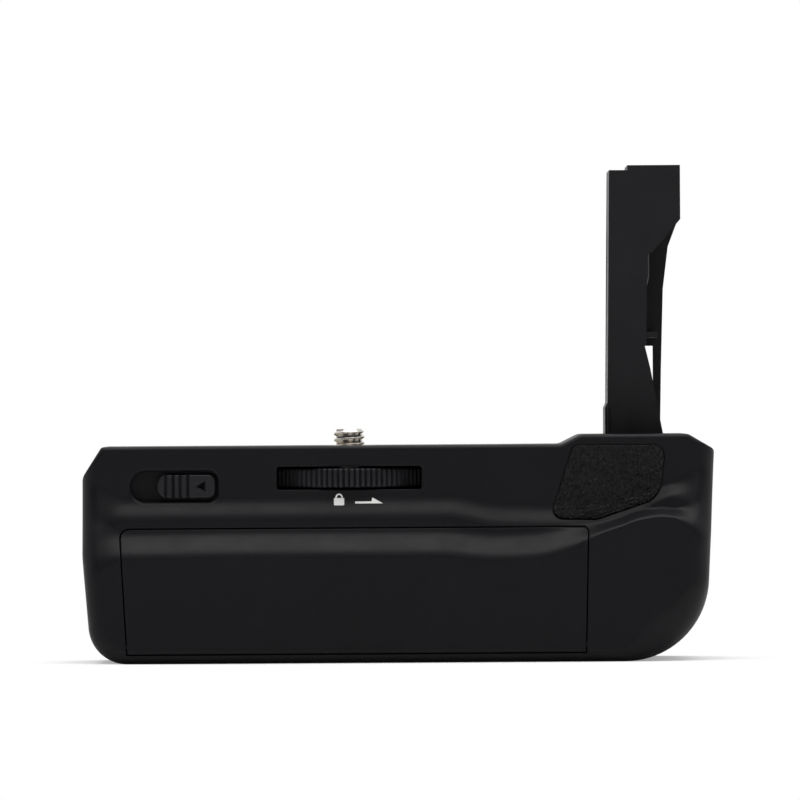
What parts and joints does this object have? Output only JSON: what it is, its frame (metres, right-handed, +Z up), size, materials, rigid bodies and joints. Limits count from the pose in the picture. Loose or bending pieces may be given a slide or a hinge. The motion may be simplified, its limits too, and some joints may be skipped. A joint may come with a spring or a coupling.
{
  "type": "camera battery grip",
  "caption": "Black vertical battery grip that screws under a camera: battery stalk, knurled lock wheel, hinged pack door with slide latch, grained thumb pad and release button.",
  "frame": {"origin": "centre of the bounding box in plan, on the table plane under the base plate", "axes": "+X along the case towards the stalk, -Y out of the battery door, +Z up towards the camera"},
  "size_m": [0.13, 0.07, 0.1022],
  "materials": {
    "case_plastic": "near-black moulded plastic with a fine satin grain",
    "inner_plastic": "smooth black moulded plastic",
    "button_gloss": "polished black plastic",
    "rubber": "soft black rubber with a leather grain",
    "nickel_steel": "nickel-plated steel",
    "black_steel": "blackened steel",
    "brass": "plain brass",
    "board_green": "green lacquered board",
    "lead_insulation": "soft black wire insulation"
  },
  "bodies": {
    "housing": {"rear_casing": "case_plastic", "front_casing": "case_plastic", "top_deck": "case_plastic", "deck_bush": "brass", "base_plate": "case_plastic", "tripod_bush": "brass", "thumb_pad": "rubber", "grip_rubber": "rubber", "stalk_rear_half": "case_plastic", "stalk_front_half": "case_plastic", "stalk_contact_block": "inner_plastic", "stalk_contacts": "brass", "stalk_wires": "lead_insulation", "battery_cage": "inner_plastic", "bay_contacts": "brass", "circuit_board": "board_green", "board_parts": "inner_plastic", "wheel_bracket": "nickel_steel", "latch_spring": "nickel_steel", "hinge_pins": "nickel_steel", "release_cup": "case_plastic", "release_spring": "nickel_steel", "release_switch": "inner_plastic", "release_jack": "case_plastic", "base_screws": "black_steel", "deck_screws": "black_steel", "stalk_screws": "nickel_steel", "flange_screws": "nickel_steel", "bracket_screws": "nickel_steel", "board_screws": "nickel_steel"},
    "wheel": {"lock_wheel": "case_plastic", "camera_screw": "nickel_steel", "wheel_clip": "nickel_steel"},
    "latch": {"latch_slider": "case_plastic", "latch_bolt": "nickel_steel", "latch_screw": "nickel_steel"},
    "door": {"battery_door": "case_plastic", "door_cushions": "rubber"},
    "button": {"release_button": "button_gloss"}
  },
  "joints": [
    {"name": "wheel_spin", "type": "hinge", "parent": "housing", "child": "wheel", "pos_m": [-0.0101, -0.0107, 0.038], "axis": [0, 0, 1], "continuous": true},
    {"name": "latch_slide", "type": "slide", "parent": "housing", "child": "latch", "axis": [-1, 0, 0], "range_m": [0, 0.005], "stiffness_N_per_m": 250, "springref_m": -0.003, "deforming": ["latch_spring"]},
    {"name": "door_hinge", "type": "hinge", "parent": "housing", "child": "door", "pos_m": [0, -0.0334, 0.0036], "axis": [1, 0, 0], "range_deg": [0, 90]},
    {"name": "release_press", "type": "slide", "parent": "housing", "child": "button", "axis": [-0.7071, -0.7071, 0], "range_m": [0, 0.0012], "stiffness_N_per_m": 900, "springref_m": -0.0005, "deforming": ["release_spring"]}
  ]
}
